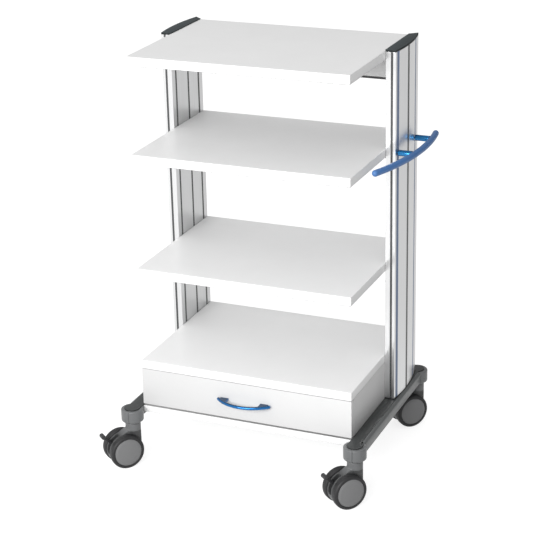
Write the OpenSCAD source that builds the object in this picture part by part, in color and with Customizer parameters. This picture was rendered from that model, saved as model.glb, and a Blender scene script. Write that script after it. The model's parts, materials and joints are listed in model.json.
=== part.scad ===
// Instrument cart: two aluminium columns, four shelves, a drawer unit and four twin wheel casters.
// Millimetres. Origin on the floor, midway between the four swivel stems. +Z up, the front is -Y.

/* [Shelves] */
// Width of every shelf, left to right
shelf_w = 630; // [600:5:660]
// Depth of every shelf, front to back
shelf_d = 467; // [466:1:474]
// Thickness of a shelf board
shelf_t = 25; // [22:1:26]
// Height of the top shelf's surface
top_h = 1180; // [1140:5:1240]
// Height of the upper shelf's surface
upper_h = 910; // [860:5:960]
// Height of the middle shelf's surface
middle_h = 582; // [500:5:640]
// Height of the drawer unit's top surface
unit_h = 306; // [300:1:315]
// Thickness of the edging round a board
edging_t = 2; // [1:0.5:3]

/* [Columns] */
// Front face of the columns, measured back from the cart's middle
column_front = 37.5; // [35:0.5:38]
// Width of a column's flat front face
column_face_w = 28; // [27:0.5:29]
// Radius of a column's bulged outer side
column_arc_r = 600; // [580:10:640]
// Width of a groove's mouth
groove_w = 10; // [8:0.5:11]

/* [Runners and casters] */
// Top of the runners above the floor
runner_h = 170; // [170:1:172]
// Width of a runner
runner_w = 42; // [42:1:46]
// Distance of the swivel stems from the cart's middle, front and back
stem_y = 265; // [262:1:272]
// Radius of the round caster sockets
socket_r = 32; // [30:1:34]
// Wheel radius
wheel_r = 50; // [48:0.5:50]
// Distance of the axle behind the swivel stem
trail = 33; // [30:1:36]
// Direction in which the casters stand at rest, degrees
heading = -40; // [-180:5:180]

/* [Push handle and drawer] */
// Height of the push handle above the floor
push_h = 898; // [760:2:1060]
// Radius of the push handle's bar
push_r = 9; // [8:0.5:9.5]
// Height of the drawer's handle above the floor
pull_h = 228; // [215:1:240]
// Thickness of the drawer's front panel
front_t = 20; // [18:1:22]

/* [Hidden] */
$fn = 64;
half_w = shelf_w / 2;
half_d = shelf_d / 2;
fit = 0.5;
clear = 0.3;
run_gap = 0.05;
hole_gap = 0.2;
column_x = half_w + fit;
column_rear = half_d;
column_bulge = 6;
wall = 3;
tail_u = 18;
tail_rise = 16;
arc_cu = column_face_w + column_bulge - column_arc_r;
arc_y = column_front + sqrt(pow(column_arc_r, 2) - pow(column_face_w - arc_cu, 2));
inner_grooves = [column_front + 25.5, column_front + 103, column_front + 170];
outer_grooves = [column_front + 15.5, column_front + 91, column_front + 166];
outer_groove_w = 15;
lip = 2.8;
pocket_w = 18;
pocket_d = 7;
pocket_room = pocket_w / 2 + wall;
cell_w = 4;
cell_d = 15;
strip_t = 1.2;
strip_drop = 0.7;
front_groove_w = 6;
front_groove_d = 3;
front_groove_u = 17;
foot_t = 3;
foot_plug = 30;
foot_grow = 0.4;
cap_seat_t = 3.2;
cap_t = 2.3;
cap_plug = 14;
cap_overhang = 2.2;
plug_gap = 0.15;
column_z0 = runner_h + foot_t;
column_z1 = top_h - 3;
shelf_tops = [top_h, upper_h, middle_h];
bracket_z = [for (z = shelf_tops) z - shelf_t];
plate_t = 4;
plate_h = 60;
plate_y0 = column_front + 14;
plate_y1 = half_d - 6;
bolt_drop = 38;
arm_w = 40;
arm_t = 5;
arm_x0 = half_w - 52;
arm_y0 = -190;
arm_y1 = 210;
arm_ys = [-165, 0, 175];
arm_mid = arm_x0 + arm_w / 2;
bracket_ys = [inner_grooves[0], inner_grooves[2]];
bolt_r = 3;
bolt_len = 13;
head_r = 5;
head_h = 3.5;
wood_r = 2.5;
wood_len = 16;
wood_head_r = 4.5;
wood_head_h = 3;
nut_t = 5;
nut_h = 14;
nut_depth = lip + nut_t + 0.9;
foot_bolt_r = 4;
foot_bolt_len = 56;
foot_head_r = 6.5;
foot_head_h = 5;
foot_bolt_u = 16;
foot_bolt_ys = [
  (inner_grooves[0] + outer_grooves[1]) / 2,
  (inner_grooves[1] + outer_grooves[2]) / 2
];
trim_h = 6;
panel_z0 = top_h - shelf_t - 96;
panel_y0 = half_d - 20.5;
panel_y1 = half_d - 3;
carcass_t = 18;
carcass_z = 166;
carcass_y = -half_d + front_t + fit;
carcass_top = unit_h - shelf_t;
inside_x = half_w - carcass_t;
floor_t = 10;
back_t = 8;
beam_h = 20;
beam_d = 28;
beam_wall = 2.5;
runner_x = half_w + runner_w / 2;
runner_z = 138;
bevel_w = 5;
bevel_h = 6;
cover_t = 3;
cover_w = 33;
lid_r = 22.5;
socket_z = 126.4;
socket_bevel = 7;
stem_r = 6;
stem_z0 = 2 * wheel_r + 4;
stem_len = 57;
axle_r = 5;
axle_len = 67;
neck_r = 22;
fork_w = 27.6;
wheel_in = 15.2;
wheel_t = 23.6;
disc_r = 40;
housing_r = 46.5;
pivot_y = -56;
pivot_z = 60;
pin_r = 3;
pedal_w = 12;
pedal_hub_w = 14.4;
pedal_slot_w = 15.2;
slide_z = 222;
slide_h = 36;
slide_t = 1.4;
slide_w = 9;
slide_gap = 0.6;
slide_room = 0.4;
slide_len = 400;
slide_y = carcass_y + 4;
box_x = inside_x - 13.4;
box_z0 = 184;
box_z1 = 264;
box_y1 = 188;
box_t = 12;
box_floor_t = 6;
push_arc_r = 760;
push_y = 132;
push_x = 396.5;
push_a0 = asin((push_y + 136) / push_arc_r);
push_a1 = asin((260 - push_y) / push_arc_r);
push_ys = [outer_grooves[0], outer_grooves[2]];
post_r = 8.5;
post_gap = 1.8;
pull_arc_r = 109;
pull_r = 4.5;
pull_out = 38;
pull_foot_h = 7;
pull_a = asin(76 / pull_arc_r);
pull_y = pull_arc_r - half_d - pull_out;

// Outer side of a column, measured out from its inner face, at a depth y
function side_u(y) = arc_cu + sqrt(pow(column_arc_r, 2) - pow(y - arc_y, 2));

// A box given by its two opposite corners
module block(low, high) {
  translate(low)
    cube(high - low);
}

// The children and their mirror image on the cart's other side
module both_sides() {
  children();
  mirror([1, 0, 0])
    children();
}

// ---- Columns ----

// Plain outline of a column, seen from above, grown by a lip
module column_outline(grow) {
  intersection() {
    translate([arc_cu, arc_y])
      circle(r = column_arc_r + grow, $fn = 360);
    polygon([
      [-grow, column_front - grow],
      [60, column_front - grow],
      [60, column_rear + grow + 60 * tail_rise / tail_u],
      [-grow, column_rear + grow]
    ]);
  }
}

// Mouth and pocket of the inner side's groove
module inner_groove(y) {
  translate([-1, y - groove_w / 2])
    square([lip + 2, groove_w]);
  translate([lip, y - pocket_w / 2])
    square([pocket_d, pocket_w]);
}

// Mouth and pocket of the outer side's groove
module outer_groove(y) {
  translate([side_u(y) - lip - 1, y - outer_groove_w / 2])
    square([lip + 5, outer_groove_w]);
  translate([side_u(y) - lip - pocket_d, y - pocket_w / 2])
    square([pocket_d, pocket_w]);
}

// One closed chamber between two depths, inside the walls
module chamber(y0, y1, gap) {
  intersection() {
    translate([arc_cu, arc_y])
      circle(r = column_arc_r - wall - gap, $fn = 360);
    translate([wall + gap, y0 + gap])
      square([60, y1 - y0 - 2 * gap]);
  }
}

module main_chambers(gap) {
  for (i = [0, 1])
    chamber(inner_grooves[i] + pocket_room, outer_grooves[i + 1] - pocket_room, gap);
}

module column_section() {
  difference() {
    column_outline(0);
    for (y = inner_grooves)
      inner_groove(y);
    for (y = outer_grooves)
      outer_groove(y);
    translate([front_groove_u - front_groove_w / 2, column_front - 1])
      square([front_groove_w, front_groove_d + 1]);
    main_chambers(0);
    for (y = inner_grooves)
      translate([lip + pocket_d + wall, y - pocket_room])
        square([cell_w, cell_d]);
  }
}

module column() {
  translate([column_x, 0, column_z0])
    linear_extrude(column_z1 - column_z0)
      column_section();
}

module column_right() {
  color("silver")
    column();
}

module column_left() {
  color("silver")
    mirror([1, 0, 0])
      column();
}

// End piece of a column: a plate and two plugs that fill the chambers
module end_piece(seat_t, plug_h, grow) {
  linear_extrude(seat_t)
    column_outline(grow);
  translate([0, 0, -plug_h])
    linear_extrude(plug_h)
      main_chambers(plug_gap);
}

// Top plate of a cap, which laps over the edging of the top shelf
module cap_plate() {
  linear_extrude(cap_t) {
    column_outline(0);
    translate([-cap_overhang, column_front])
      square([cap_overhang + 1, column_rear - column_front]);
  }
}

module column_caps() {
  color("dimgray")
    both_sides()
      translate([column_x, 0, column_z1]) {
        end_piece(cap_seat_t, cap_plug, 0);
        translate([0, 0, cap_seat_t])
          cap_plate();
      }
}

module column_feet() {
  color("black")
    both_sides()
      difference() {
        translate([column_x, 0, column_z0])
          mirror([0, 0, 1])
            end_piece(foot_t, foot_plug, foot_grow);
        foot_bolts(0);
      }
}

// Cover strip in the inner side's groove
module inner_strip(y) {
  translate([strip_drop, y - groove_w / 2])
    square([strip_t, groove_w]);
}

// Cover strip in the outer side's groove, following its slope
module outer_strip(y) {
  y0 = y - outer_groove_w / 2;
  y1 = y + outer_groove_w / 2;
  a = side_u(y0) - strip_drop;
  b = side_u(y1) - strip_drop;
  polygon([[a, y0], [b, y1], [b - strip_t, y1], [a - strip_t, y0]]);
}

module strip_run() {
  translate([column_x, 0, column_z0])
    linear_extrude(column_z1 - column_z0)
      children();
}

module dark_strips() {
  color("dimgray")
    both_sides()
      difference() {
        union() {
          strip_run()
            for (y = inner_grooves)
              inner_strip(y);
          strip_run()
            outer_strip(outer_grooves[1]);
          strip_run()
            translate([front_groove_u - front_groove_w / 2, column_front + strip_drop])
              square([front_groove_w, strip_t]);
        }
        bracket_shanks(clear);
      }
}

module blue_strips() {
  color("slateblue")
    difference() {
      both_sides()
        strip_run()
          for (y = push_ys)
            outer_strip(y);
      post_studs(clear);
    }
}

// ---- Shelves ----

module board(z1) {
  m = half_w - edging_t;
  n = half_d - edging_t;
  block([-m, -n, z1 - shelf_t], [m, n, z1]);
}

module edge_frame(z1) {
  difference() {
    block([-half_w, -half_d, z1 - shelf_t], [half_w, half_d, z1]);
    block(
      [edging_t - half_w, edging_t - half_d, z1 - shelf_t - 1],
      [half_w - edging_t, half_d - edging_t, z1 + 1]
    );
  }
}

module free_shelf(z1) {
  color("white")
    difference() {
      board(z1);
      wood_screws(z1 - shelf_t, run_gap);
    }
}

module shelf_top() {
  free_shelf(top_h);
}

module shelf_upper() {
  free_shelf(upper_h);
}

module shelf_middle() {
  free_shelf(middle_h);
}

module drawer_unit_top() {
  color("white")
    board(unit_h);
}

module shelf_edging() {
  color("whitesmoke")
    for (z = concat(shelf_tops, [unit_h]))
      edge_frame(z);
}

// Right hand bracket under a board: a wall plate with a flange, and a flat arm under the board
module bracket(z) {
  difference() {
    union() {
      block([half_w - plate_t, plate_y0, z - plate_h], [half_w, plate_y1, z]);
      block([arm_x0, plate_y0, z - arm_t], [half_w, arm_y1, z]);
      block([arm_x0, arm_y0, z - arm_t], [arm_x0 + arm_w, arm_y1, z]);
    }
    for (y = bracket_ys)
      translate([half_w - plate_t - 1, y, z - bolt_drop])
        rotate([0, 90, 0])
          cylinder(h = plate_t + 2, r = bolt_r + hole_gap);
    for (y = arm_ys)
      translate([arm_mid, y, z - arm_t - 1])
        cylinder(h = arm_t + 2, r = wood_r + hole_gap);
  }
}

module shelf_brackets() {
  color("gainsboro")
    both_sides()
      for (z = bracket_z)
        bracket(z);
}

// Shanks of the right hand bracket screws, with a clearance
module bracket_shanks(gap) {
  for (z = bracket_z, y = bracket_ys)
    translate([half_w - plate_t, y, z - bolt_drop])
      rotate([0, 90, 0])
        cylinder(h = bolt_len, r = bolt_r + gap);
}

module bracket_heads() {
  for (z = bracket_z, y = bracket_ys)
    translate([half_w - plate_t - head_h, y, z - bolt_drop])
      rotate([0, 90, 0])
        cylinder(h = head_h, r = head_r);
}

// Bolts that hold the column's foot down on its runner
module foot_bolts(gap) {
  for (y = foot_bolt_ys)
    translate([column_x + foot_bolt_u, y, runner_z + wall])
      cylinder(h = foot_bolt_len, r = foot_bolt_r + gap);
}

module foot_bolt_heads() {
  for (y = foot_bolt_ys)
    translate([column_x + foot_bolt_u, y, runner_z + wall])
      cylinder(h = foot_head_h, r = foot_head_r);
}

module frame_screws() {
  color("gray")
    both_sides() {
      bracket_heads();
      bracket_shanks(0);
      foot_bolt_heads();
      foot_bolts(0);
    }
}

module nut_block(x, y, z, w) {
  difference() {
    block([x, y - w / 2, z - nut_h / 2], [x + nut_t, y + w / 2, z + nut_h / 2]);
    translate([x - 1, y, z])
      rotate([0, 90, 0])
        cylinder(h = nut_t + 2, r = bolt_r + run_gap);
  }
}

module t_nuts() {
  color("lightgray") {
    both_sides()
      for (z = bracket_z, y = bracket_ys)
        nut_block(column_x + lip + 0.1, y, z - bolt_drop, groove_w + 6);
    for (y = push_ys)
      nut_block(column_x + side_u(y) - nut_depth, y, push_h, pocket_w - 1);
  }
}

// Screws that go up through an arm into a board lying at z
module wood_screws(z, gap) {
  both_sides()
    for (y = arm_ys)
      translate([arm_mid, y, z - arm_t])
        cylinder(h = arm_t + wood_len, r = wood_r + gap);
}

module shelf_screws() {
  color("gray") {
    for (z = bracket_z) {
      wood_screws(z, 0);
      both_sides()
        for (y = arm_ys)
          translate([arm_mid, y, z - arm_t - wood_head_h])
            cylinder(h = wood_head_h, r = wood_head_r);
    }
  }
}

// ---- Rear panel under the top shelf ----

module rear_panel() {
  color("lightgray")
    difference() {
      block([-half_w, panel_y0, panel_z0], [half_w, panel_y1, top_h - shelf_t]);
      both_sides()
        block(
          [half_w - plate_t - fit, panel_y0 - 1, top_h - shelf_t - plate_h - fit],
          [half_w + 1, plate_y1 + 1, top_h - shelf_t + 1]
        );
    }
}

module rear_panel_trim() {
  color("black")
    block([-half_w, panel_y0 - 1, panel_z0 - trim_h], [half_w, panel_y1 + 1, panel_z0]);
}

// ---- Drawer unit ----

module carcass_side() {
  block([inside_x, carcass_y, carcass_z], [half_w, half_d, carcass_top]);
}

module carcass_side_right() {
  color("whitesmoke")
    carcass_side();
}

module carcass_side_left() {
  color("whitesmoke")
    mirror([1, 0, 0])
      carcass_side();
}

module carcass_back() {
  color("whitesmoke")
    block([-inside_x, half_d - back_t, carcass_z + floor_t], [inside_x, half_d, carcass_top]);
}

module carcass_bottom() {
  color("gainsboro")
    block([-inside_x, carcass_y, carcass_z], [inside_x, half_d, carcass_z + floor_t]);
}

// Half of a telescopic slide member: a web and two flanges, opening towards the drawer
module slide_member(x, dir, h, w) {
  y0 = slide_y;
  y1 = slide_y + slide_len;
  a = min(x, x + dir * slide_t);
  b = max(x, x + dir * slide_t);
  c = min(x, x + dir * w);
  d = max(x, x + dir * w);
  block([a, y0, slide_z - h / 2], [b, y1, slide_z + h / 2]);
  block([c, y0, slide_z - h / 2], [d, y1, slide_z - h / 2 + slide_t]);
  block([c, y0, slide_z + h / 2 - slide_t], [d, y1, slide_z + h / 2]);
}

module slide_outers() {
  color("silver")
    both_sides()
      slide_member(inside_x, -1, slide_h, slide_w);
}

module slide_middles() {
  color("silver")
    both_sides()
      slide_member(inside_x - slide_t - slide_gap, -1, slide_h - 2 * (slide_t + slide_room), slide_w);
}

module slide_inners() {
  color("silver")
    both_sides()
      slide_member(box_x, 1, slide_h - 4 * (slide_t + slide_room), slide_w - slide_room);
}

module drawer_box() {
  color("lightgray")
    difference() {
      block([-box_x, carcass_y - fit, box_z0], [box_x, box_y1, box_z1]);
      block(
        [box_t - box_x, carcass_y - fit + box_t, box_z0 + box_floor_t],
        [box_x - box_t, box_y1 - box_t, box_z1 + 1]
      );
    }
}

module drawer_front() {
  color("white")
    block([-half_w, -half_d, runner_h + 1], [half_w, -half_d + front_t, carcass_top - 0.8]);
}

module pull_bow() {
  translate([0, pull_y, pull_h])
    rotate([0, 0, 270 - pull_a])
      rotate_extrude(angle = 2 * pull_a)
        translate([pull_arc_r, 0])
          circle(r = pull_r);
}

module pull_plugs() {
  for (side = [-1, 1])
    translate([0, pull_y, pull_h])
      rotate([0, 0, 270 + side * pull_a])
        translate([pull_arc_r, 0, 0])
          end_plug(pull_r, -side);
}

// Solid foot between the end of the bow and the panel
module pull_foot() {
  inner = 48;
  outer = 73;
  translate([0, 0, pull_h - pull_foot_h / 2])
    linear_extrude(pull_foot_h)
      polygon([
        [inner, -half_d],
        [outer - 1, -half_d],
        [outer, pull_y - sqrt(pow(pull_arc_r, 2) - pow(outer, 2))],
        [inner + 12, pull_y - sqrt(pow(pull_arc_r, 2) - pow(inner + 12, 2))],
        [inner, pull_y - sqrt(pow(pull_arc_r, 2) - pow(inner, 2))]
      ]);
}

module drawer_handle() {
  color("royalblue") {
    pull_bow();
    pull_plugs();
    both_sides()
      pull_foot();
  }
}

// ---- Runners ----

// Section of a runner: closed box with a raised, bevelled outer rim beside the cover
module runner_section() {
  cover_z = runner_h - cover_t;
  difference() {
    polygon([
      [0, runner_z],
      [runner_w, runner_z],
      [runner_w, runner_h - bevel_h],
      [runner_w - bevel_w, runner_h],
      [cover_w + clear, runner_h],
      [cover_w + clear, cover_z],
      [0, cover_z]
    ]);
    translate([wall, runner_z + wall])
      square([runner_w - 2 * wall, cover_z - runner_z - 2 * wall]);
  }
}

module runner() {
  difference() {
    translate([half_w, stem_y, 0])
      rotate([90, 0, 0])
        linear_extrude(2 * stem_y)
          runner_section();
    for (s = [-1, 1])
      translate([runner_x, s * stem_y, runner_z - 1])
        cylinder(h = 60, r = socket_r);
    foot_bolts(clear);
  }
}

module runner_right() {
  color("gray")
    runner();
}

module runner_left() {
  color("gray")
    mirror([1, 0, 0])
      runner();
}

module runner_covers() {
  color("dimgray")
    both_sides()
      difference() {
        translate([0, 0, runner_h - cover_t])
          linear_extrude(cover_t)
            union() {
              translate([half_w, -stem_y])
                square([cover_w, 2 * stem_y]);
              for (s = [-1, 1])
                translate([runner_x, s * stem_y])
                  circle(r = lid_r);
            }
        foot_bolts(clear);
      }
}

module socket() {
  bevel_z = socket_z + socket_bevel;
  difference() {
    union() {
      translate([0, 0, socket_z])
        cylinder(h = socket_bevel, r1 = neck_r + 1.5, r2 = socket_r);
      translate([0, 0, bevel_z])
        cylinder(h = runner_h - cover_t - bevel_z, r = socket_r);
    }
    translate([0, 0, socket_z - 1])
      cylinder(h = stem_z0 + stem_len + 2.4 - socket_z, r = stem_r + run_gap);
  }
}

module caster_sockets() {
  color("gray")
    both_sides()
      for (s = [-1, 1])
        translate([runner_x, s * stem_y, 0])
          socket();
}

module crossbeams() {
  color("whitesmoke")
    for (s = [-1, 1])
      translate([0, s * (half_d - beam_d / 2), carcass_z - beam_h / 2])
        difference() {
          cube([shelf_w, beam_d, beam_h], center = true);
          cube([shelf_w + 2, beam_d - 2 * beam_wall, beam_h - 2 * beam_wall], center = true);
        }
}

// ---- Push handle on the right hand column ----

// Domed end plug of a bar, growing along -Y when side is 1 and along +Y when it is -1
module end_plug(r, side) {
  rotate([side * 90, 0, 0])
    translate([0, 0, run_gap])
      rotate_extrude()
        intersection() {
          circle(r = r);
          square([r, r]);
        }
}

module push_bar(gap) {
  translate([push_x - push_arc_r, push_y, push_h])
    rotate([0, 0, -push_a0])
      rotate_extrude(angle = push_a0 + push_a1)
        translate([push_arc_r, 0])
          circle(r = push_r + gap);
}

module push_plugs() {
  translate([push_x - push_arc_r, push_y, push_h]) {
    rotate([0, 0, -push_a0])
      translate([push_arc_r, 0, 0])
        end_plug(push_r, 1);
    rotate([0, 0, push_a1])
      translate([push_arc_r, 0, 0])
        end_plug(push_r, -1);
  }
}

module push_grip() {
  color("royalblue") {
    push_bar(0);
    push_plugs();
  }
}

function bar_x(y) = push_x - push_arc_r + sqrt(pow(push_arc_r, 2) - pow(y - push_y, 2));

// Threaded studs of the posts, which reach through the strips into the nuts
module post_studs(gap) {
  for (y = push_ys)
    translate([column_x + side_u(y) - nut_depth, y, push_h])
      rotate([0, 90, 0])
        cylinder(h = nut_depth + post_gap + 1, r = bolt_r + gap);
}

module push_posts() {
  color("mediumblue") {
    post_studs(0);
    difference() {
      for (y = push_ys)
        translate([column_x + side_u(y) + post_gap, y, push_h])
          rotate([0, 90, 0])
            cylinder(h = bar_x(y) - column_x - side_u(y) - post_gap, r = post_r);
      push_bar(run_gap);
    }
  }
}

// ---- Casters: stem axis on the local origin, axle along local X, wheels trailing to -Y ----

module at_caster(sx, sy) {
  translate([sx * runner_x, sy * stem_y, 0])
    rotate([0, 0, heading])
      children();
}

// Turns a shape about Z into one about the axle, its base at x and growing outwards
module on_axle(x, side) {
  translate([side * x, -trail, wheel_r])
    rotate([0, side * 90, 0])
      children();
}

// Brow of the housing, which slopes from the neck down to the wheels
module brow() {
  translate([-fork_w / 2, 0, 0])
    rotate([90, 0, 90])
      linear_extrude(fork_w)
        polygon([
          [-12, stem_z0],
          [-neck_r, stem_z0 + 3],
          [-trail - 9, 2 * wheel_r - 4.4],
          [-trail, wheel_r + 10]
        ]);
}

module fork(with_brake) {
  neck_z = 2 * wheel_r + 2;
  difference() {
    union() {
      translate([0, 0, neck_z])
        cylinder(h = socket_z - 0.4 - neck_z, r = neck_r);
      intersection() {
        translate([0, 0, wheel_r + 12])
          cylinder(h = wheel_r, r = neck_r);
        block([-fork_w / 2, -60, 0], [fork_w / 2, 60, 2 * wheel_r + 10]);
      }
      brow();
      on_axle(-fork_w / 2, 1)
        cylinder(h = fork_w, r = housing_r);
    }
    block([-60, -120, -1], [60, 60, 13]);
    on_axle(-fork_w, 1)
      cylinder(h = 2 * fork_w, r = axle_r);
    translate([0, 0, stem_z0])
      cylinder(h = 60, r = stem_r);
    if (with_brake) {
      block(
        [-pedal_slot_w / 2, -120, pivot_z - 17],
        [pedal_slot_w / 2, pivot_y + 11, 140]
      );
      translate([-fork_w, pivot_y, pivot_z])
        rotate([0, 90, 0])
          cylinder(h = 2 * fork_w, r = pin_r + run_gap);
    }
  }
}

module pins() {
  translate([0, 0, stem_z0])
    cylinder(h = stem_len, r = stem_r);
  on_axle(-axle_len / 2, 1)
    cylinder(h = axle_len, r = axle_r);
}

module hub(side) {
  on_axle(wheel_in, side)
    rotate_extrude()
      polygon([
        [0, 20],
        [axle_r + run_gap, 20],
        [axle_r + run_gap, 0],
        [12, 0],
        [12, 9],
        [disc_r - 4, 9],
        [disc_r - 4, 0.6],
        [disc_r, 0.6],
        [disc_r, wheel_t - 1.6],
        [disc_r - 1.6, wheel_t],
        [0, wheel_t]
      ]);
}

module tyre(side) {
  round_r = 6;
  seat_r = disc_r + 0.02;
  w = wheel_t - 1.6;
  on_axle(wheel_in + 0.4, side)
    rotate_extrude()
      intersection() {
        translate([seat_r, 0])
          square([wheel_r, w]);
        union() {
          translate([seat_r, 0])
            square([wheel_r - seat_r - round_r, w]);
          translate([seat_r, round_r])
            square([wheel_r - seat_r, w - 2 * round_r]);
          for (a = [round_r, w - round_r])
            translate([wheel_r - round_r, a])
              circle(r = round_r);
        }
      }
}

// A rod along the local X axis, centred on it
module cross_rod(w, r, y, z) {
  translate([-w / 2, y, z])
    rotate([0, 90, 0])
      cylinder(h = w, r = r);
}

module pedal() {
  tip_y = -trail - wheel_r - 11;
  tip_z = 2 * wheel_r;
  reach = sqrt(pow(pivot_y - tip_y, 2) + pow(tip_z - pivot_z, 2));
  tilt = atan((tip_z - pivot_z) / (pivot_y - tip_y));
  cross_rod(fork_w - 0.4, pin_r, pivot_y, pivot_z);
  cross_rod(pedal_hub_w, 8, pivot_y, pivot_z);
  translate([0, pivot_y, pivot_z])
    rotate([-tilt, 0, 0])
      block([-pedal_w / 2, -reach, -4], [pedal_w / 2, -2, 4]);
  cross_rod(20, 6.5, tip_y, tip_z);
}

module fork_part(sx, sy, with_brake) {
  color("dimgray")
    at_caster(sx, sy)
      fork(with_brake);
}

module pins_part(sx, sy) {
  color("silver")
    at_caster(sx, sy)
      pins();
}

module tyre_part(sx, sy, side) {
  color("black")
    at_caster(sx, sy)
      tyre(side);
}

module hub_part(sx, sy, side) {
  color("gray")
    at_caster(sx, sy)
      hub(side);
}

module pedal_part(sx, sy) {
  color("black")
    at_caster(sx, sy)
      pedal();
}

column_left();
column_right();
column_caps();
column_feet();
dark_strips();
blue_strips();
shelf_top();
shelf_upper();
shelf_middle();
drawer_unit_top();
shelf_edging();
shelf_brackets();
frame_screws();
t_nuts();
shelf_screws();
rear_panel();
rear_panel_trim();
carcass_side_left();
carcass_side_right();
carcass_back();
carcass_bottom();
crossbeams();
runner_left();
runner_right();
runner_covers();
caster_sockets();
push_grip();
push_posts();
slide_outers();
slide_middles();
slide_inners();
drawer_box();
drawer_front();
drawer_handle();
fork_part(-1, -1, true);  // fork_fl
fork_part(1, -1, true);  // fork_fr
fork_part(-1, 1, false);  // fork_rl
fork_part(1, 1, false);  // fork_rr
pins_part(-1, -1);  // pins_fl
pins_part(1, -1);  // pins_fr
pins_part(-1, 1);  // pins_rl
pins_part(1, 1);  // pins_rr
tyre_part(-1, -1, -1);  // tyre_fl_in
tyre_part(-1, -1, 1);  // tyre_fl_out
tyre_part(1, -1, -1);  // tyre_fr_in
tyre_part(1, -1, 1);  // tyre_fr_out
tyre_part(-1, 1, -1);  // tyre_rl_in
tyre_part(-1, 1, 1);  // tyre_rl_out
tyre_part(1, 1, -1);  // tyre_rr_in
tyre_part(1, 1, 1);  // tyre_rr_out
hub_part(-1, -1, -1);  // hub_fl_in
hub_part(-1, -1, 1);  // hub_fl_out
hub_part(1, -1, -1);  // hub_fr_in
hub_part(1, -1, 1);  // hub_fr_out
hub_part(-1, 1, -1);  // hub_rl_in
hub_part(-1, 1, 1);  // hub_rl_out
hub_part(1, 1, -1);  // hub_rr_in
hub_part(1, 1, 1);  // hub_rr_out
pedal_part(-1, -1);  // pedal_fl
pedal_part(1, -1);  // pedal_fr
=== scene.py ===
"""Looks of the instrument cart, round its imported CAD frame. Metres; floor at Z 0, front towards -Y."""
import json
import math

import bmesh
import bpy
from mathutils import Matrix, Vector

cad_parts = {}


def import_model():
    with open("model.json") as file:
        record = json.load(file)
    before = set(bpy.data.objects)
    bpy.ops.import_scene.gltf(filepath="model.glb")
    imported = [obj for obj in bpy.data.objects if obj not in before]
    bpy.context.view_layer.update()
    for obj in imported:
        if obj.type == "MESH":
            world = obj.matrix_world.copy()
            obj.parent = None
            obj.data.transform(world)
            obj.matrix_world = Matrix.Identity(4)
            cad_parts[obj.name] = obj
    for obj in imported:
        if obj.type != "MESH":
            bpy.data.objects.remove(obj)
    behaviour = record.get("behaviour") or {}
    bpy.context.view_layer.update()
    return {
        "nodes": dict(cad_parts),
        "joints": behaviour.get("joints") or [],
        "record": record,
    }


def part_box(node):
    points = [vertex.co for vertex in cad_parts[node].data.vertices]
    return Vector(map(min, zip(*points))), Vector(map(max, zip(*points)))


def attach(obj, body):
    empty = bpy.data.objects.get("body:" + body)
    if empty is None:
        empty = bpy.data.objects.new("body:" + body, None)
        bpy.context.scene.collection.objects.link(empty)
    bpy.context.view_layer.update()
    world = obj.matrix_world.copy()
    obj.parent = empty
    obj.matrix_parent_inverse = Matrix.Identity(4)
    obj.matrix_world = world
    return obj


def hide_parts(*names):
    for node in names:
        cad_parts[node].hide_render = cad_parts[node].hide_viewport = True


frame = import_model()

MM = 0.001
RECORD = frame["record"]
SLOT = {part["node"]: part["material_slot"] for part in RECORD["subparts"]}
BODY = {node: body for body, nodes in RECORD["behaviour"]["bodies"].items() for node in nodes}
JOINT = {joint["name"]: joint for joint in frame["joints"]}
CASTERS = ("fl", "fr", "rl", "rr")
MATERIALS = {}


# ---- Materials ----

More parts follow.
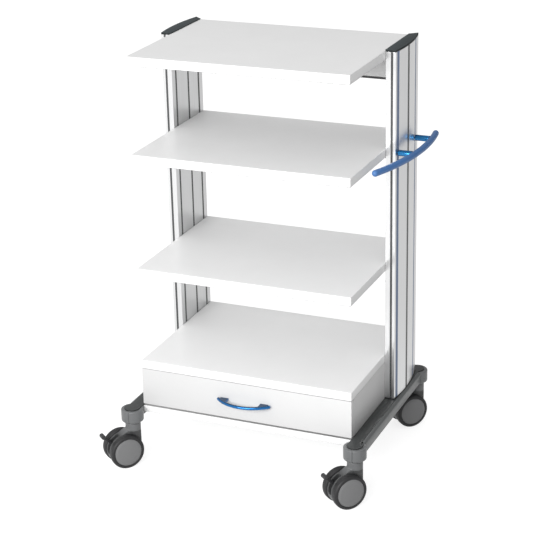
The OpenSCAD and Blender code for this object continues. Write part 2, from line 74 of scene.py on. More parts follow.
class Nodes:
    """Builds one node material."""

    MAP_INPUTS = ("From Min", "From Max", "To Min", "To Max")

    def __init__(self, name):
        self.material = bpy.data.materials.new(name)
        self.material.use_nodes = True
        self.tree = self.material.node_tree
        self.shader = self.tree.nodes["Principled BSDF"]
        self.coords = self.add("ShaderNodeTexCoord").outputs["Object"]

    def add(self, kind, **settings):
        """A node with its settings, or the inputs of that name, filled in."""
        node = self.tree.nodes.new(kind)
        for key, value in settings.items():
            if hasattr(node, key):
                setattr(node, key, value)
            else:
                node.inputs[key.replace("_", " ")].default_value = value
        return node

    def link(self, source, target):
        self.tree.links.new(source, target)

    def stretched(self, scale):
        """Object coordinates, scaled along each axis."""
        node = self.add("ShaderNodeMapping")
        node.inputs["Scale"].default_value = scale
        self.link(self.coords, node.inputs["Vector"])
        return node.outputs["Vector"]

    def noise(self, scale, detail, rough, stretch=None):
        node = self.add("ShaderNodeTexNoise", Scale=scale, Detail=detail, Roughness=rough)
        self.link(self.stretched(stretch) if stretch else self.coords, node.inputs["Vector"])
        return node.outputs["Fac"]

    def spread(self, source, low, high, source_low=0.3, source_high=0.7):
        """Maps source_low..source_high onto low..high."""
        node = self.add("ShaderNodeMapRange", clamp=True)
        for key, value in zip(self.MAP_INPUTS, (source_low, source_high, low, high)):
            node.inputs[key].default_value = value
        self.link(source, node.inputs["Value"])
        return node.outputs["Result"]

    def maths(self, operation, a, b):
        node = self.add("ShaderNodeMath", operation=operation)
        for socket, value in zip(node.inputs, (a, b)):
            if isinstance(value, (int, float)):
                socket.default_value = value
            else:
                self.link(value, socket)
        return node.outputs[0]

    def blend(self, factor, a, b):
        """Mixes two colours."""
        node = self.add("ShaderNodeMix", data_type="RGBA")
        sockets = [s for s in node.inputs if s.enabled]
        for socket, value in zip(sockets, (factor, a, b)):
            if isinstance(value, (int, float)):
                socket.default_value = value
            elif isinstance(value, tuple):
                socket.default_value = (*value, 1.0)
            else:
                self.link(value, socket)
        return next(s for s in node.outputs if s.enabled)

    def edges(self, radius):
        """1 along edges, 0 on open faces."""
        rounded = self.add("ShaderNodeBevel", samples=4)
        rounded.inputs["Radius"].default_value = radius
        true = self.add("ShaderNodeNewGeometry")
        dot = self.add("ShaderNodeVectorMath", operation="DOT_PRODUCT")
        self.link(rounded.outputs[0], dot.inputs[0])
        self.link(true.outputs["Normal"], dot.inputs[1])
        return self.spread(dot.outputs["Value"], 1.0, 0.0, 0.75, 0.99)

    def scaled(self, color, share):
        """A colour times a number."""
        node = self.add("ShaderNodeVectorMath", operation="SCALE")
        self.link(color, node.inputs[0])
        self.link(share, node.inputs["Scale"])
        return node.outputs[0]

    def height_of(self, vector):
        """The Z part of a vector."""
        parts = self.add("ShaderNodeSeparateXYZ")
        self.link(vector, parts.inputs[0])
        return parts.outputs["Z"]

    def upward(self, low, high, start, end):
        """Runs from low to high as a face turns up from one height of its normal to another."""
        normal = self.add("ShaderNodeNewGeometry").outputs["Normal"]
        return self.spread(self.height_of(normal), low, high, start, end)

    def bump(self, height, depth, under=None):
        """A fine relief, laid over another one if given."""
        node = self.add("ShaderNodeBump", Strength=1.0, Distance=depth)
        self.link(height, node.inputs["Height"])
        if under is not None:
            self.link(under, node.inputs["Normal"])
        return node.outputs["Normal"]


def shade(color, share):
    """A lighter or darker version of a colour."""
    return tuple(min(max(c * share, 0.0), 1.0) for c in color)


WEAR_RADIUS = 1.2 * MM
SCUFF_SCALE = 140.0
SMEAR_SCALE = 31.0


def finish(
    slot, color, rough, metallic=0.0, vary=0.04, broad=9.0, grain=(1800.0, 0.00002), stretch=None,
    rough_vary=0.06, streaks=None, shade_by_facing=None, shade_by_height=None, worn=None, worn_share=0.5, orange=None, **fixed
):
    """One material for a slot of the record: colour drift, grain, uneven gloss and worn edges.

    vary and rough_vary say how far colour and roughness drift. broad is the drift's scale, grain the fine
    grain's scale and depth; streaks and stretch draw them out along an axis. shade_by_facing (low, high,
    from, to) scales the colour by the face's upward turn, which paints shade on the faces turned that way,
    and shade_by_height scales it by height, which paints shade low down. worn is the colour of rubbed
    edges, orange the scale and depth of orange peel. The rest goes straight to the shader's sockets.
    """
    n = Nodes(slot)
    drift = n.noise(broad, 3.0, 0.55, streaks)
    speckle = n.noise(grain[0], 2.0, 0.6, stretch)
    mixed = n.maths("ADD", n.maths("MULTIPLY", drift, 0.7), n.maths("MULTIPLY", speckle, 0.3))
    share = n.spread(mixed, 0.0, 1.0, 0.35, 0.65)
    tint = n.blend(share, shade(color, 1 - vary), shade(color, 1 + vary))
    if worn:
        scuffs = n.spread(n.noise(SCUFF_SCALE, 4.0, 0.65), 0.0, 1.0, 0.42, 0.66)
        rubbed = n.maths("MULTIPLY", n.edges(WEAR_RADIUS), n.spread(scuffs, 0.35, 1.0, 0.0, 1.0))
        tint = n.blend(n.maths("MULTIPLY", rubbed, worn_share), tint, worn)
    # Painted shade: the colour is scaled by which way the face turns.
    if shade_by_facing:
        tint = n.scaled(tint, n.upward(*shade_by_facing))
    # Painted shade: the colour is scaled by height, darker low down.
    if shade_by_height:
        tint = n.scaled(tint, n.spread(n.height_of(n.coords), *shade_by_height))
    n.link(tint, n.shader.inputs["Base Color"])
    smear = n.maths("MULTIPLY", n.noise(SMEAR_SCALE, 3.0, 0.6), 0.6)
    smear = n.maths("ADD", smear, n.maths("MULTIPLY", speckle, 0.4))
    n.link(n.spread(smear, rough - rough_vary, rough + rough_vary), n.shader.inputs["Roughness"])
    normal = n.bump(speckle, grain[1])
    if orange:
        normal = n.bump(n.noise(orange[0], 1.0, 0.4), orange[1], under=normal)
    n.link(normal, n.shader.inputs["Normal"])
    n.shader.inputs["Metallic"].default_value = metallic
    for key, value in fixed.items():
        n.shader.inputs[key.replace("_", " ")].default_value = value
    MATERIALS[slot] = n.material


UPRIGHT = (1.0, 1.0, 0.004)
ALONG_Y = (1.0, 0.004, 1.0)

finish("anodised", (0.73, 0.733, 0.736), 0.31, metallic=1.0, vary=0.03, broad=170.0,
       streaks=(1.0, 1.0, 0.01), grain=(2200.0, 0.000010), stretch=UPRIGHT, rough_vary=0.02)
# Painted shade: the caps' side faces are darkened against their tops.
finish("cap_plastic", (0.045, 0.056, 0.060), 0.62, vary=0.10, grain=(2600.0, 0.00004),
       shade_by_facing=(0.35, 1.0, 0.45, 0.85), Specular_IOR_Level=0.22)
finish("foot_plate", (0.014, 0.014, 0.015), 0.55, vary=0.12, grain=(1500.0, 0.00005))
finish("strip_dark", (0.052, 0.053, 0.055), 0.45, vary=0.08, grain=(2400.0, 0.00001), stretch=UPRIGHT)
finish("strip_blue", (0.112, 0.165, 0.29), 0.38, vary=0.06, grain=(2400.0, 0.00001), stretch=UPRIGHT)
finish("laminate", (0.82, 0.82, 0.82), 0.42, vary=0.012, grain=(1300.0, 0.00003),
       orange=(420.0, 0.00003))
# Painted shade: the edging's downward faces are darkened, drawing the shade along each board's lower edge.
finish("edging", (0.84, 0.84, 0.84), 0.34, vary=0.010, grain=(1700.0, 0.00001),
       shade_by_facing=(0.25, 1.0, -0.45, -0.05))
finish("bracket_steel", (0.72, 0.72, 0.72), 0.38, vary=0.03, grain=(900.0, 0.00002),
       orange=(700.0, 0.00003))
finish("zinc_steel", (0.60, 0.61, 0.63), 0.30, metallic=1.0, vary=0.08, grain=(1500.0, 0.00001))
finish("rear_panel", (0.58, 0.58, 0.58), 0.45, vary=0.02, grain=(1300.0, 0.00003),
       orange=(420.0, 0.00003))
finish("panel_trim", (0.016, 0.016, 0.017), 0.55, vary=0.15, grain=(1800.0, 0.00003))
finish("carcass_board", (0.58, 0.58, 0.58), 0.42, vary=0.012, grain=(1300.0, 0.00003),
       orange=(420.0, 0.00003))
# Painted shade: the beams' top faces are darkened, for the shadow in the gap under the drawer front.
finish("beam_white", (0.76, 0.76, 0.76), 0.36, vary=0.015, grain=(1000.0, 0.00002),
       orange=(600.0, 0.00004), shade_by_facing=(1.0, 0.5, 0.45, 0.85))
# Painted shade: the covers' side faces are darkened against their tops.
finish("runner_cover", (0.038, 0.041, 0.041), 0.48, vary=0.10, grain=(1900.0, 0.00005),
       shade_by_facing=(0.3, 1.0, 0.45, 0.85))
finish("runner_grey", (0.112, 0.117, 0.117), 0.36, vary=0.06, grain=(1300.0, 0.00002),
       orange=(520.0, 0.00005), worn=(0.25, 0.26, 0.26), worn_share=0.35)
finish("socket_grey", (0.130, 0.134, 0.137), 0.30, vary=0.06, grain=(1300.0, 0.00002),
       orange=(520.0, 0.00005), worn=(0.27, 0.275, 0.28), worn_share=0.35)
finish("grip_blue", (0.058, 0.16, 0.39), 0.42, vary=0.05, grain=(2100.0, 0.00003), rough_vary=0.05,
       orange=(260.0, 0.00004))
finish("post_blue", (0.016, 0.19, 0.46), 0.16, metallic=0.85, vary=0.07, grain=(5200.0, 0.00001),
       rough_vary=0.04, Coat_Weight=0.4, Coat_Roughness=0.08)
finish("slide_steel", (0.64, 0.65, 0.66), 0.32, metallic=1.0, vary=0.06, grain=(1500.0, 0.00001),
       stretch=ALONG_Y)
finish("drawer_board", (0.74, 0.74, 0.74), 0.38, vary=0.02, grain=(900.0, 0.00002),
       orange=(650.0, 0.00003))
finish("front_board", (0.60, 0.60, 0.60), 0.38, vary=0.010, grain=(1300.0, 0.00002),
       orange=(420.0, 0.00002))
# Painted shade: faces turned up, such as the flat tops of the feet, are darkened.
finish("handle_blue", (0.014, 0.14, 0.38), 0.20, metallic=0.85, vary=0.07, grain=(5200.0, 0.00001),
       rough_vary=0.04, shade_by_facing=(1.0, 0.25, 0.72, 0.97), Coat_Weight=0.25, Coat_Roughness=0.08)
# Painted shade: the housing darkens below its brow, where it lies in shade between the twin wheels.
finish("caster_housing", (0.128, 0.131, 0.134), 0.42, vary=0.07, grain=(1500.0, 0.00005),
       shade_by_height=(0.35, 1.0, 0.094, 0.107))
finish("bright_steel", (0.66, 0.67, 0.68), 0.22, metallic=1.0, vary=0.05, grain=(1800.0, 0.000005))
finish("tyre_rubber", (0.018, 0.018, 0.019), 0.52, vary=0.14, grain=(1100.0, 0.00006), rough_vary=0.09,
       worn=(0.05, 0.049, 0.048), worn_share=0.3, Specular_IOR_Level=0.35)
finish("hub_grey", (0.160, 0.161, 0.163), 0.38, vary=0.04, grain=(1700.0, 0.00004))
finish("pedal_black", (0.022, 0.022, 0.024), 0.38, vary=0.1, grain=(1900.0, 0.00003),
       worn=(0.12, 0.12, 0.12), worn_share=0.4)


# ---- Shapes ----

def mesh_of(bm, name, sharp=None):
    """Finishes a bmesh; edges sharper than the given angle stay crisp."""
    bmesh.ops.recalc_face_normals(bm, faces=bm.faces)
    mesh = bpy.data.meshes.new(name)
    for face in bm.faces:
        face.smooth = True
    if sharp:
        for edge in bm.edges:
            edge.smooth = edge.calc_face_angle(0.0) < math.radians(sharp)
    bm.to_mesh(mesh)
    bm.free()
    return mesh


def piece(name, mesh, node, place=None, stands_for=()):
    """Shows a mesh in place of a CAD node, on that node's body and with its material."""
    obj = bpy.data.objects.new(name, mesh)
    bpy.context.scene.collection.objects.link(obj)
    if place is not None:
        obj.matrix_world = place
    if not mesh.materials:
        mesh.materials.append(MATERIALS[SLOT[node]])
    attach(obj, BODY[node])
    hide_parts(node, *stands_for)
    return obj


def rounding(obj, width, segments=2, angle=32.0):
    """Rounds every edge sharper than the angle, inwards."""
    bevel = obj.modifiers.new("rounding", "BEVEL")
    bevel.width = width
    bevel.segments = segments
    bevel.limit_method = "ANGLE"
    bevel.angle_limit = math.radians(angle)
    bevel.harden_normals = True
    bevel.miter_outer = "MITER_ARC"


WELD = 0.01 * MM
FLAT_ANGLE = 0.6


def cad_bmesh(node):
    """The CAD node's own shape, with its triangles joined back into flat faces."""
    bm = bmesh.new()
    bm.from_mesh(frame["nodes"][node].data)
    bmesh.ops.remove_doubles(bm, verts=bm.verts, dist=WELD)
    bmesh.ops.dissolve_limit(bm, angle_limit=math.radians(FLAT_ANGLE), verts=bm.verts, edges=bm.edges)
    return bm


def skinned(node, mesh_name, voxel, passes):
    """The CAD node's shape as one smooth casting."""
    obj = piece(node + "_look", mesh_of(cad_bmesh(node), mesh_name), node)
    skin = obj.modifiers.new("skin", "REMESH")
    skin.mode = "VOXEL"
    skin.voxel_size = voxel
    skin.use_smooth_shade = True
    relax = obj.modifiers.new("relax", "SMOOTH")
    relax.iterations = passes


def add_prism(bm, outline, z0, z1):
    """A closed upright prism over an outline of (x, y) points."""
    rings = [[bm.verts.new((x, y, z)) for x, y in outline] for z in (z0, z1)]
    count = len(outline)
    for i in range(count):
        j = (i + 1) % count
        bm.faces.new((rings[0][i], rings[0][j], rings[1][j], rings[1][i]))
    bm.faces.new(rings[0][::-1])
    bm.faces.new(rings[1])


def rounded_rect(x0, y0, x1, y1, radius):
    """Corner points of a rectangle with rounded corners."""
    points = []
    steps = 5
    for cx, cy, start in (
        (x1 - radius, y1 - radius, 0), (x0 + radius, y1 - radius, 90),
        (x0 + radius, y0 + radius, 180), (x1 - radius, y0 + radius, 270)
    ):
        for k in range(steps + 1):
            a = math.radians(start + 90 * k / steps)
            points.append((cx + radius * math.cos(a), cy + radius * math.sin(a)))
    return points


ON_AXIS = 1e-9


def lathe(profile, steps):
    """A solid turned about Z from (radius, height) points; a profile off the axis closes on itself."""
    bm = bmesh.new()
    rings = []
    for r, z in profile:
        if r < ON_AXIS:
            rings.append([bm.verts.new((0, 0, z))])
        else:
            turn = [2 * math.pi * k / steps for k in range(steps)]
            rings.append([bm.verts.new((r * math.cos(a), r * math.sin(a), z)) for a in turn])
    pairs = list(zip(rings, rings[1:]))
    if profile[0][0] > ON_AXIS:
        pairs.append((rings[-1], rings[0]))
    for low, high in pairs:
        for k in range(steps):
            j = (k + 1) % steps
            corners = [low[k % len(low)], low[j % len(low)], high[j % len(high)], high[k % len(high)]]
            corners = list(dict.fromkeys(corners))
            if len(corners) > 2:
                bm.faces.new(corners)
    return bm


def add_tube(bm, points, radius, sides=28):
    """A round bar along points that lie in one level plane, with domed ends."""
    dome = 8
    up = Vector((0, 0, 1))
    stations = []
    first = (points[1] - points[0]).normalized()
    last = (points[-1] - points[-2]).normalized()
    for k in range(1, dome):
        a = math.pi / 2 * k / dome
        stations.append((points[0] - first * radius * math.cos(a), first, radius * math.sin(a)))
    for i, p in enumerate(points):
        along = points[min(i + 1, len(points) - 1)] - points[max(i - 1, 0)]
        stations.append((p, along.normalized(), radius))
    for k in range(dome - 1, 0, -1):
        a = math.pi / 2 * k / dome
        stations.append((points[-1] + last * radius * math.cos(a), last, radius * math.sin(a)))
    rings = []
    for centre, along, r in stations:
        across = along.cross(up)
        ring = []
        for k in range(sides):
            a = 2 * math.pi * k / sides
            ring.append(bm.verts.new(centre + across * r * math.cos(a) + up * r * math.sin(a)))
        rings.append(ring)
    for low, high in zip(rings, rings[1:]):
        for k in range(sides):
            j = (k + 1) % sides
            bm.faces.new((low[k], low[j], high[j], high[k]))
    for ring, tip in ((rings[0], points[0] - first * radius), (rings[-1], points[-1] + last * radius)):
        pole = bm.verts.new(tip)
        for k in range(sides):
            bm.faces.new((ring[k], ring[(k + 1) % sides], pole))


def arc_points(centre, radius, start, end, z, steps):
    """Points on a level arc; angles in radians from +X."""
    turn = [start + (end - start) * k / steps for k in range(steps + 1)]
    return [Vector((centre[0] + radius * math.cos(a), centre[1] + radius * math.sin(a), z)) for a in turn]


# ---- Boards ----

BOARDS = ("shelf_top", "shelf_upper", "shelf_middle", "drawer_unit_top")
CORNER = 1.0 * MM
EDGING = 2.0 * MM
ARRIS = 1.3 * MM
CRISP = 60.0

for board in BOARDS:
    lo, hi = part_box(board)
    bm = bmesh.new()
    add_prism(bm, rounded_rect(lo.x, lo.y, hi.x, hi.y, CORNER), lo.z, hi.z)
    rounding(piece(board + "_look", mesh_of(bm, board), board), 0.15 * MM, 1, CRISP)

bm = bmesh.new()
for board in BOARDS:
    lo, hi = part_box(board)
    section = [(0.0, 0.0), (EDGING - ARRIS, 0.0)]
    section += [(EDGING - ARRIS + ARRIS * math.sin(a), ARRIS - ARRIS * math.cos(a))
                for a in (math.pi * k / 8 for k in range(1, 4))]
    section.append((EDGING, ARRIS))
    section += [(d, hi.z - lo.z - h) for d, h in reversed(section)]
    rings = []
    for d, h in section:
        outline = rounded_rect(lo.x - d, lo.y - d, hi.x + d, hi.y + d, CORNER + d)
        rings.append([bm.verts.new((x, y, lo.z + h)) for x, y in outline])
    for low, high in zip(rings, rings[1:] + rings[:1]):
        for k in range(len(low)):
            j = (k + 1) % len(low)
            bm.faces.new((low[k], low[j], high[j], high[k]))
rounding(piece("shelf_edging_look", mesh_of(bm, "shelf_edging"), "shelf_edging"), 0.12 * MM, 1, CRISP)

# ---- Frame parts that keep their CAD shape, with rounded edges ----

# node and rounding in mm
for node, width in (
    ("column_caps", 0.8), ("column_feet", 0.6), ("runner_left", 0.8), ("runner_right", 0.8),
    ("shelf_brackets", 0.5), ("rear_panel", 0.5), ("rear_panel_trim", 0.8),
    ("carcass_side_left", 0.5), ("carcass_side_right", 0.5), ("carcass_back", 0.4),
    ("carcass_bottom", 0.4), ("crossbeams", 0.9), ("runner_covers", 0.8), ("slide_outers", 0.3),
    ("slide_middles", 0.3), ("slide_inners", 0.3), ("drawer_box", 0.8), ("drawer_front", 0.8)
):
    rounding(piece(node + "_look", mesh_of(cad_bmesh(node), node), node), width * MM)

# ---- Columns: the extruded section, with a finely stepped bulge ----

# The section is drawn with u outwards from the inner face and y as in the frame.

ARC_R = 600 * MM
BULGE = 6 * MM
TAIL_SLOPE = 16 / 18
LIP, POCKET, POCKET_W = 2.8 * MM, 7.0 * MM, 18 * MM
INNER_MOUTH, OUTER_MOUTH = 10 * MM, 15 * MM
FRONT_GROOVE_U0, FRONT_GROOVE_U1, FRONT_GROOVE_DEEP = 14 * MM, 20 * MM, 3 * MM
ARC_STEP = 1.5 * MM
SHARP = 25.0
column_lo, column_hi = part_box("column_right")
front_y = column_lo.y
rear_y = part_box("shelf_edging")[1].y
arc_u = column_hi.x - column_lo.x - ARC_R
arc_y = front_y + math.sqrt(ARC_R ** 2 - (ARC_R - BULGE) ** 2)
inner_grooves = [front_y + d * MM for d in (25.5, 103, 170)]
outer_grooves = [front_y + d * MM for d in (15.5, 91, 166)]


def side_u(y):
    """The bulged outer face."""
    return arc_u + math.sqrt(ARC_R ** 2 - (y - arc_y) ** 2)


def groove(y, mouth_u, mouth_w, step):
    """The undercut pocket behind a groove's mouth, walked with growing or falling depth."""
    m, p = step * mouth_w / 2, step * POCKET_W / 2
    inward = -1 if step > 0 else 1
    floor_u = mouth_u + inward * POCKET
    return [(mouth_u, y - m), (mouth_u, y - p), (floor_u, y - p),
            (floor_u, y + p), (mouth_u, y + p), (mouth_u, y + m)]


def tail_y():
    """Where the slanting rear face meets the bulge; a few rounds are enough to settle."""
    y = rear_y
    for _ in range(20):
        y = rear_y + side_u(y) * TAIL_SLOPE
    return y


def column_section():
    """The outline: front face with its groove, outer face, slanting rear face, inner face."""
    section = [(0.0, front_y), (FRONT_GROOVE_U0, front_y), (FRONT_GROOVE_U0, front_y + FRONT_GROOVE_DEEP),
               (FRONT_GROOVE_U1, front_y + FRONT_GROOVE_DEEP), (FRONT_GROOVE_U1, front_y)]
    stops = [front_y]
    for y in outer_grooves:
        stops += [y - OUTER_MOUTH / 2, y + OUTER_MOUTH / 2]
    stops.append(tail_y())
    for k in range(0, len(stops), 2):
        low, high = stops[k], stops[k + 1]
        count = max(2, round((high - low) / ARC_STEP))
        walk = [low + (high - low) * i / count for i in range(count + 1)]
        section += [(side_u(y), y) for y in walk]
        if k // 2 < len(outer_grooves):
            y = outer_grooves[k // 2]
            section += groove(y, side_u(y) - LIP, OUTER_MOUTH, 1)
    section.append((0.0, rear_y))
    for y in inner_grooves[::-1]:
        section.append((0.0, y + INNER_MOUTH / 2))
        section += groove(y, LIP, INNER_MOUTH, -1)
        section.append((0.0, y - INNER_MOUTH / 2))
    return section


for side, sign in (("left", -1), ("right", 1)):
    bm = bmesh.new()
    outline = [(sign * (column_lo.x + u), y) for u, y in column_section()]
    add_prism(bm, outline, column_lo.z, column_hi.z)
    node = "column_" + side
    rounding(piece(node + "_look", mesh_of(bm, node, SHARP), node), 0.5 * MM, 3, SHARP)

# ---- Caster sockets ----

# (radius, height) in mm
SOCKET = [
    (0, 162.4), (6.05, 162.4), (6.05, 126.4), (22.4, 126.4), (23.3, 126.7), (24.2, 127.2),
    (30.6, 132.0), (31.4, 132.8), (31.85, 133.9), (32.0, 135.4), (32.0, 163.4), (31.8, 165.0),
    (31.2, 166.1), (30.3, 166.8), (29.2, 167.0), (0, 167.0)
]
SEAM_AT, SEAM_HALF = math.radians(-83.0), math.radians(3.6)
SEAM_DIP = 0.07
SEAM_FROM_R = 30 * MM
bm = lathe([(r * MM, z * MM) for r, z in SOCKET], 360)
for vert in bm.verts:
    reach = math.hypot(vert.co.x, vert.co.y)
    off = abs(math.atan2(vert.co.y, vert.co.x) - SEAM_AT)
    if reach > SEAM_FROM_R:
        dip = max(0.0, 1.0 - off / SEAM_HALF)
        vert.co.x *= 1 - SEAM_DIP * dip
        vert.co.y *= 1 - SEAM_DIP * dip
socket_mesh = mesh_of(bm, "socket")
for key in CASTERS:
    stem = Vector(JOINT["swivel_" + key]["pos_m"])
    piece("socket_" + key, socket_mesh, "caster_sockets", Matrix.Translation((stem.x, stem.y, 0)))

# ---- Push handle ----

lo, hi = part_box("push_grip")
PUSH_R = (hi.z - lo.z) / 2
PUSH_ARC = 760 * MM
PUSH_MIDDLE_Y = 132 * MM
bar_z = (lo.z + hi.z) / 2
arc_centre = (hi.x - PUSH_R - PUSH_ARC, PUSH_MIDDLE_Y)
bar_start = math.asin((lo.y + PUSH_R - arc_centre[1]) / PUSH_ARC)
bar_end = math.asin((hi.y - PUSH_R - arc_centre[1]) / PUSH_ARC)
bm = bmesh.new()
add_tube(bm, arc_points(arc_centre, PUSH_ARC, bar_start, bar_end, bar_z, 64), PUSH_R, 40)
piece("push_grip_look", mesh_of(bm, "push_grip"), "push_grip")

lo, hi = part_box("push_posts")
POST_R = (hi.z - lo.z) / 2
STUD_R, STUD_IN = 3.0 * MM, 8 * MM
POST_BITE = 2.0 * MM
for k, y in enumerate((lo.y + POST_R, hi.y - POST_R)):
    reach = arc_centre[0] + math.sqrt(PUSH_ARC ** 2 - (y - arc_centre[1]) ** 2)
    collar = [v.co.x for v in frame["nodes"]["push_posts"].data.vertices
              if STUD_R * 1.2 < math.hypot(v.co.y - y, v.co.z - bar_z) < POST_R * 1.05]
    root = min(collar)
    length = reach - root - PUSH_R + POST_BITE
    turned = [
        (0, -STUD_IN), (STUD_R, -STUD_IN), (STUD_R, 0), (POST_R - 0.8 * MM, 0),
        (POST_R - 0.3 * MM, 0.3 * MM), (POST_R, 0.9 * MM), (POST_R, length), (0, length)
    ]
    mesh = mesh_of(lathe(turned, 48), "push_post")
    mesh.transform(Matrix.Rotation(math.pi / 2, 4, "Y"))
    rounding(piece("push_post_%d" % k, mesh, "push_posts", Matrix.Translation((root, y, bar_z))), 0.3 * MM)

# ---- Drawer handle ----

lo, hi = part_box("drawer_handle")
PULL_ARC = 109 * MM
PULL_R = 4.5 * MM
PULL_HALF_SPAN = 76 * MM
FOOT_ON_FRONT = (48, 72)
FOOT_ON_BOW = (73, 60, 48)
FOOT_HALF_HIGH = 3.5 * MM
pull_z = (lo.z + hi.z) / 2
bow_y = lo.y + PULL_R


def bow(x):
    """The bow's centre line."""
    return bow_y + PULL_ARC - math.sqrt(PULL_ARC ** 2 - (x * MM) ** 2)


half = math.asin(PULL_HALF_SPAN / PULL_ARC)
middle = -math.pi / 2
bm = bmesh.new()
add_tube(bm, arc_points((0, bow_y + PULL_ARC), PULL_ARC, middle - half, middle + half, pull_z, 48), PULL_R)
piece("drawer_handle_bow", mesh_of(bm, "drawer_handle_bow"), "drawer_handle")
for side in (-1, 1):
    outline = [(x * MM, hi.y) for x in FOOT_ON_FRONT] + [(x * MM, bow(x)) for x in FOOT_ON_BOW]
    if side < 0:
        outline = [(-x, y) for x, y in outline[::-1]]
    bm = bmesh.new()
    add_prism(bm, outline, pull_z - FOOT_HALF_HIGH, pull_z + FOOT_HALF_HIGH)
    name = "drawer_handle_foot_" + ("left" if side < 0 else "right")
    rounding(piece(name, mesh_of(bm, name), "drawer_handle"), 1.2 * MM, 3)

# ---- Casters ----

# (radius, distance from the wheel's inner face) in mm
TYRE = [
    (40.0, 1.4), (40.9, 0.6), (42.2, 0.4), (44.0, 0.4), (45.9, 0.7), (47.6, 1.6), (49.0, 3.0),
    (49.75, 4.8), (50.0, 6.4), (50.0, 16.4), (49.75, 18.0), (49.0, 19.8), (47.6, 21.2), (45.9, 22.1),
    (44.0, 22.4), (42.2, 22.4), (41.0, 22.1), (40.0, 21.3)
]
HUB = [
    (0, 20), (5.05, 20), (5.05, 0.3), (5.4, 0), (11.6, 0), (12, 0.4), (12, 8.4), (12.6, 9), (35.4, 9),
    (36, 8.4), (36, 1.0), (36.4, 0.6), (39.5, 0.6), (40, 1.1), (40, 20.9), (39.7, 21.6), (39.0, 22.1),
    (38.0, 22.3), (37.0, 22.4), (36.0, 22.8), (34.6, 23.35), (33.2, 23.6), (0, 23.6)
]


def on_wheel(profile, turn, name):
    """A wheel part turned about its axle, with its inner face on the origin."""
    mesh = mesh_of(lathe([(r * MM, a * MM) for r, a in profile], 96), name)
    mesh.transform(turn)
    return mesh


WHEEL_HALF = 11.4 * MM
for key in CASTERS:
    for side, sign in (("in", -1), ("out", 1)):
        spin = JOINT["spin_%s_%s" % (key, side)]
        axle = Vector(spin["axis"]).normalized() * sign
        box_lo, box_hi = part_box("tyre_%s_%s" % (key, side))
        start = (box_lo + box_hi) / 2 - axle * WHEEL_HALF
        turn = axle.to_track_quat("Z", "Y").to_matrix().to_4x4()
        for kind, profile in (("tyre", TYRE), ("hub", HUB)):
            node = "%s_%s_%s" % (kind, key, side)
            piece(node + "_look", on_wheel(profile, turn, node), node, Matrix.Translation(start))

for key in CASTERS:
    skinned("fork_" + key, "fork", 1.3 * MM, 5)
for key in ("fl", "fr"):
    skinned("pedal_" + key, "pedal", 0.8 * MM, 4)

# ---- CAD nodes that stay, with better materials ----

for name, obj in frame["nodes"].items():
    if not obj.hide_render:
        obj.data.materials.clear()
        obj.data.materials.append(MATERIALS[SLOT[name]])

# ---- Studio ----

FLOOR_SIZE, FLOOR_DROP = 60, 0.0002
FLOOR_SEEN, FLOOR_GIVES_BACK = 0.36, 0.38
FLOOR_GLOW = 0.80
# How much of the glow gloss misses: least, most, and the Y they belong to
GLOSSY_LOSS = (0.12, 0.32, -0.3, 1.0)
SKY_TOWARDS = Vector((-0.52, -0.57, 0.66))
# Cosines away from and towards SKY_TOWARDS, and the strengths there
SKY = (-0.9, 0.9, 0.12, 0.95)
KEY_AT, KEY_AIM = (-0.2, -3.8, 2.0), (0, 0, 0.6)
KEY_SIZE, KEY_POWER = (3.0, 1.2), 158


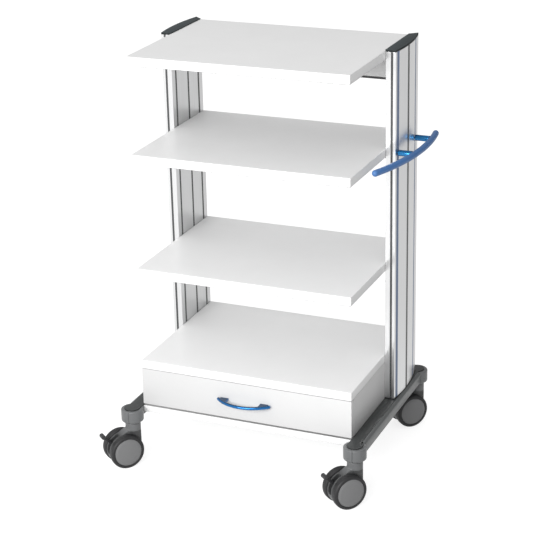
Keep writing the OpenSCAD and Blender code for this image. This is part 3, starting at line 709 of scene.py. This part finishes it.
def floor():
    """A pale floor that looks white, but gives back and mirrors less light than it shows."""
    bpy.ops.mesh.primitive_plane_add(size=FLOOR_SIZE, location=(0, 0, -FLOOR_DROP))
    plane = bpy.context.object
    plane.name = "studio_floor"
    n = Nodes("studio_floor")
    n.tree.nodes.remove(n.shader)
    out = next(node for node in n.tree.nodes if node.type == "OUTPUT_MATERIAL")
    path = n.add("ShaderNodeLightPath").outputs
    pale = n.add("ShaderNodeBsdfDiffuse", Color=(FLOOR_SEEN, FLOOR_SEEN, FLOOR_SEEN, 1))
    dim = n.add("ShaderNodeBsdfDiffuse", Color=(FLOOR_GIVES_BACK, FLOOR_GIVES_BACK, FLOOR_GIVES_BACK, 1))
    glow = n.add("ShaderNodeEmission", Color=(1, 1, 1, 1))
    parts = n.add("ShaderNodeSeparateXYZ")
    n.link(n.coords, parts.inputs[0])
    back = n.spread(parts.outputs["Y"], *GLOSSY_LOSS)
    loss = n.maths("MULTIPLY", back, path["Is Glossy Ray"])
    n.link(n.maths("SUBTRACT", FLOOR_GLOW, loss), glow.inputs["Strength"])
    seen = n.add("ShaderNodeAddShader")
    n.link(pale.outputs[0], seen.inputs[0])
    n.link(glow.outputs[0], seen.inputs[1])
    mix = n.add("ShaderNodeMixShader")
    n.link(path["Is Diffuse Ray"], mix.inputs[0])
    n.link(seen.outputs[0], mix.inputs[1])
    n.link(dim.outputs[0], mix.inputs[2])
    n.link(mix.outputs[0], out.inputs["Surface"])
    plane.data.materials.append(n.material)


def world():
    """A soft sky, brightest to the front, the left and above."""
    w = bpy.data.worlds.new("studio")
    bpy.context.scene.world = w
    w.use_nodes = True
    nt = w.node_tree
    background = nt.nodes["Background"]
    coords = nt.nodes.new("ShaderNodeTexCoord")
    dot = nt.nodes.new("ShaderNodeVectorMath")
    dot.operation = "DOT_PRODUCT"
    dot.inputs[1].default_value = SKY_TOWARDS.normalized()
    ramp = nt.nodes.new("ShaderNodeMapRange")
    ramp.interpolation_type = "SMOOTHSTEP"
    for key, value in zip(Nodes.MAP_INPUTS, SKY):
        ramp.inputs[key].default_value = value
    nt.links.new(coords.outputs["Generated"], dot.inputs[0])
    nt.links.new(dot.outputs["Value"], ramp.inputs["Value"])
    nt.links.new(ramp.outputs["Result"], background.inputs["Strength"])
    background.inputs["Color"].default_value = (1, 1, 1, 1)


def key_light():
    """One wide soft light in front of the cart."""
    light = bpy.data.lights.new("key", "AREA")
    light.shape = "RECTANGLE"
    light.size, light.size_y = KEY_SIZE
    light.energy = KEY_POWER
    obj = bpy.data.objects.new("key", light)
    obj.location = KEY_AT
    obj.rotation_euler = (Vector(KEY_AIM) - Vector(KEY_AT)).to_track_quat("-Z", "Y").to_euler()
    bpy.context.scene.collection.objects.link(obj)


floor()
world()
key_light()

# ---- Camera ----

CAMERA_AT = (1.7184, -4.0135, 2.2292)
LOOK, UP = Vector((-0.37175, 0.85573, -0.3599)), Vector((-0.12114, 0.33965, 0.93272))
SENSOR, LENS = 36, 112.22

camera = bpy.data.objects.new("camera", bpy.data.cameras.new("camera"))
forward = LOOK.normalized()
right = forward.cross(UP).normalized()
up = right.cross(forward)
turn = Matrix((right, up, -forward)).transposed().to_4x4()
camera.matrix_world = Matrix.Translation(CAMERA_AT) @ turn
camera.data.sensor_width = SENSOR
camera.data.lens = LENS
bpy.context.scene.collection.objects.link(camera)
bpy.context.scene.camera = camera
bpy.context.scene.view_settings.view_transform = "Standard"
